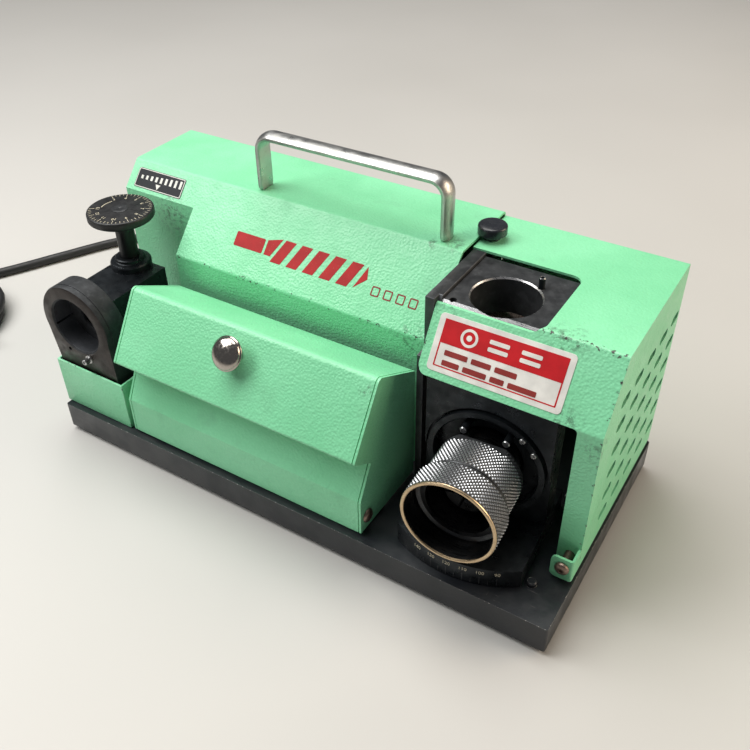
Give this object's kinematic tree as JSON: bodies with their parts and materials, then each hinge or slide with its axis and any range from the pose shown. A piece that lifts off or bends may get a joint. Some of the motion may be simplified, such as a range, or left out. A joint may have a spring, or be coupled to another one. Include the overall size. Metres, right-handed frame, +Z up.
{
  "type": "drill bit sharpener",
  "caption": "Bench drill bit sharpener with hinged wheel cover, swivelling front port and knurled chuck, top thinning port, depth gauge dial, collet door and carry handle.",
  "frame": {"origin": "centre of the machine's bounding box on the surface that its feet stand on, the free cord left out", "axes": "+X along the base towards the grinding wheel's end, +Y towards the back, +Z up"},
  "size_m": [0.552, 0.2965, 0.1777],
  "materials": {
    "green_paint": "orange-peel hammertone enamel, semi-gloss, chipped at bends",
    "black_paint": "satin black enamel",
    "black_casting": "blackened casting, satin",
    "dark_steel": "black oxide",
    "satin_steel": "satin, lightly tarnished",
    "turned_steel": "machined",
    "knurled_steel": "diamond knurled",
    "chrome": "polished",
    "bare_aluminium": "drawn can",
    "black_plastic": "moulded, satin",
    "dial_black": "satin black with white scale",
    "black_rubber": "matt",
    "grit": "bonded abrasive"
  },
  "bodies": {
    "machine": {"base_plate": "black_paint", "foot_1": "black_rubber", "foot_2": "black_rubber", "foot_3": "black_rubber", "foot_4": "black_rubber", "main_housing": "green_paint", "power_switch": "black_plastic", "carry_handle": "satin_steel", "handle_screw_left": "turned_steel", "handle_screw_right": "turned_steel", "bulkhead": "black_casting", "thinning_port": "black_casting", "thinning_pin": "dark_steel", "knob_bracket": "turned_steel", "hinge_bracket_front": "turned_steel", "hinge_bracket_rear": "turned_steel", "hinge_rod": "turned_steel", "swivel_pivot": "dark_steel", "motor_shell": "black_casting", "stator_core": "turned_steel", "motor_end_left": "black_casting", "motor_end_right": "black_casting", "bearing_left": "turned_steel", "bearing_right": "turned_steel", "motor_cradle": "black_casting", "run_capacitor": "bare_aluminium", "door_bracket_left": "turned_steel", "door_bracket_right": "turned_steel", "door_screw_left": "turned_steel", "door_screw_right": "turned_steel", "collet_rack": "black_plastic", "spare_collet_1": "turned_steel", "spare_collet_2": "turned_steel", "gauge_cover": "green_paint", "setting_socket": "black_casting", "socket_screw": "chrome", "gauge_block": "black_casting", "strain_relief": "black_rubber", "cord_lead": "black_rubber", "cord_coil": "black_rubber", "mains_plug": "black_rubber"},
    "cover": {"right_cover": "green_paint"},
    "cover_knob": {"cover_knob": "black_plastic"},
    "door": {"collet_door": "green_paint", "door_knob": "chrome"},
    "front_port": {"port_swivel": "black_casting", "cam_pin_left": "dark_steel", "cam_pin_right": "dark_steel"},
    "chuck_guide": {"chuck_sleeve": "turned_steel"},
    "chuck": {"chuck_body": "knurled_steel", "collet": "turned_steel"},
    "chuck_nut": {"chuck_nut": "knurled_steel"},
    "spindle": {"rotor_shaft": "turned_steel", "cooling_fan": "black_plastic", "wheel_hub": "turned_steel", "grinding_wheel": "grit", "wheel_nut": "turned_steel"},
    "rocker": {"switch_rocker": "black_plastic"},
    "dial": {"setting_dial": "dial_black"},
    "depth_stop": {"depth_stop": "turned_steel"}
  },
  "joints": [
    {"name": "cover_hinge", "type": "hinge", "parent": "machine", "child": "cover", "pos_m": [0.15968, 0.01529, 0.03], "axis": [0, 1, 0], "range_deg": [0, 90]},
    {"name": "cover_knob_turn", "type": "hinge", "parent": "cover", "child": "cover_knob", "pos_m": [0.06908, 0.04829, 0.1402], "axis": [0, 0, 1], "range_deg": [-180, 180]},
    {"name": "door_hinge", "type": "hinge", "parent": "machine", "child": "door", "pos_m": [-0.01871, -0.06521, 0.031], "axis": [1, 0, 0], "range_deg": [0, 60]},
    {"name": "port_swivel_turn", "type": "hinge", "parent": "machine", "child": "front_port", "pos_m": [0.10809, -0.00871, 0.02], "axis": [0, 0, 1], "range_deg": [-14, 1.5]},
    {"name": "chuck_slide", "type": "slide", "parent": "front_port", "child": "chuck_guide", "axis": [0.061, -0.9981, 0], "range_m": [0, 0.045]},
    {"name": "chuck_turn", "type": "hinge", "parent": "chuck_guide", "child": "chuck", "pos_m": [0.10809, -0.00871, 0.0645], "axis": [0.061, -0.9981, 0], "range_deg": [-90, 90]},
    {"name": "chuck_nut_turn", "type": "hinge", "parent": "chuck", "child": "chuck_nut", "pos_m": [0.10809, -0.00871, 0.0645], "axis": [0.061, -0.9981, 0], "range_deg": [-180, 180]},
    {"name": "spindle_spin", "type": "hinge", "parent": "machine", "child": "spindle", "pos_m": [0.08309, 0.03229, 0.073], "axis": [1, 0, 0], "continuous": true},
    {"name": "rocker_tip", "type": "hinge", "parent": "machine", "child": "rocker", "pos_m": [-0.15892, 0.04329, 0.108], "axis": [0, 1, 0], "range_deg": [-16, 0]},
    {"name": "dial_turn", "type": "hinge", "parent": "machine", "child": "dial", "pos_m": [-0.13642, -0.01621, 0.1323], "axis": [0, 0, 1], "range_deg": [-150, 150]},
    {"name": "depth_stop_slide", "type": "slide", "parent": "machine", "child": "depth_stop", "axis": [0, 1, 0], "range_m": [-0.003, 0.003]}
  ],
  "couplings": [
    {"joint": "dial_turn", "follows": "depth_stop_slide", "rad_per_m": 872.66}
  ]
}
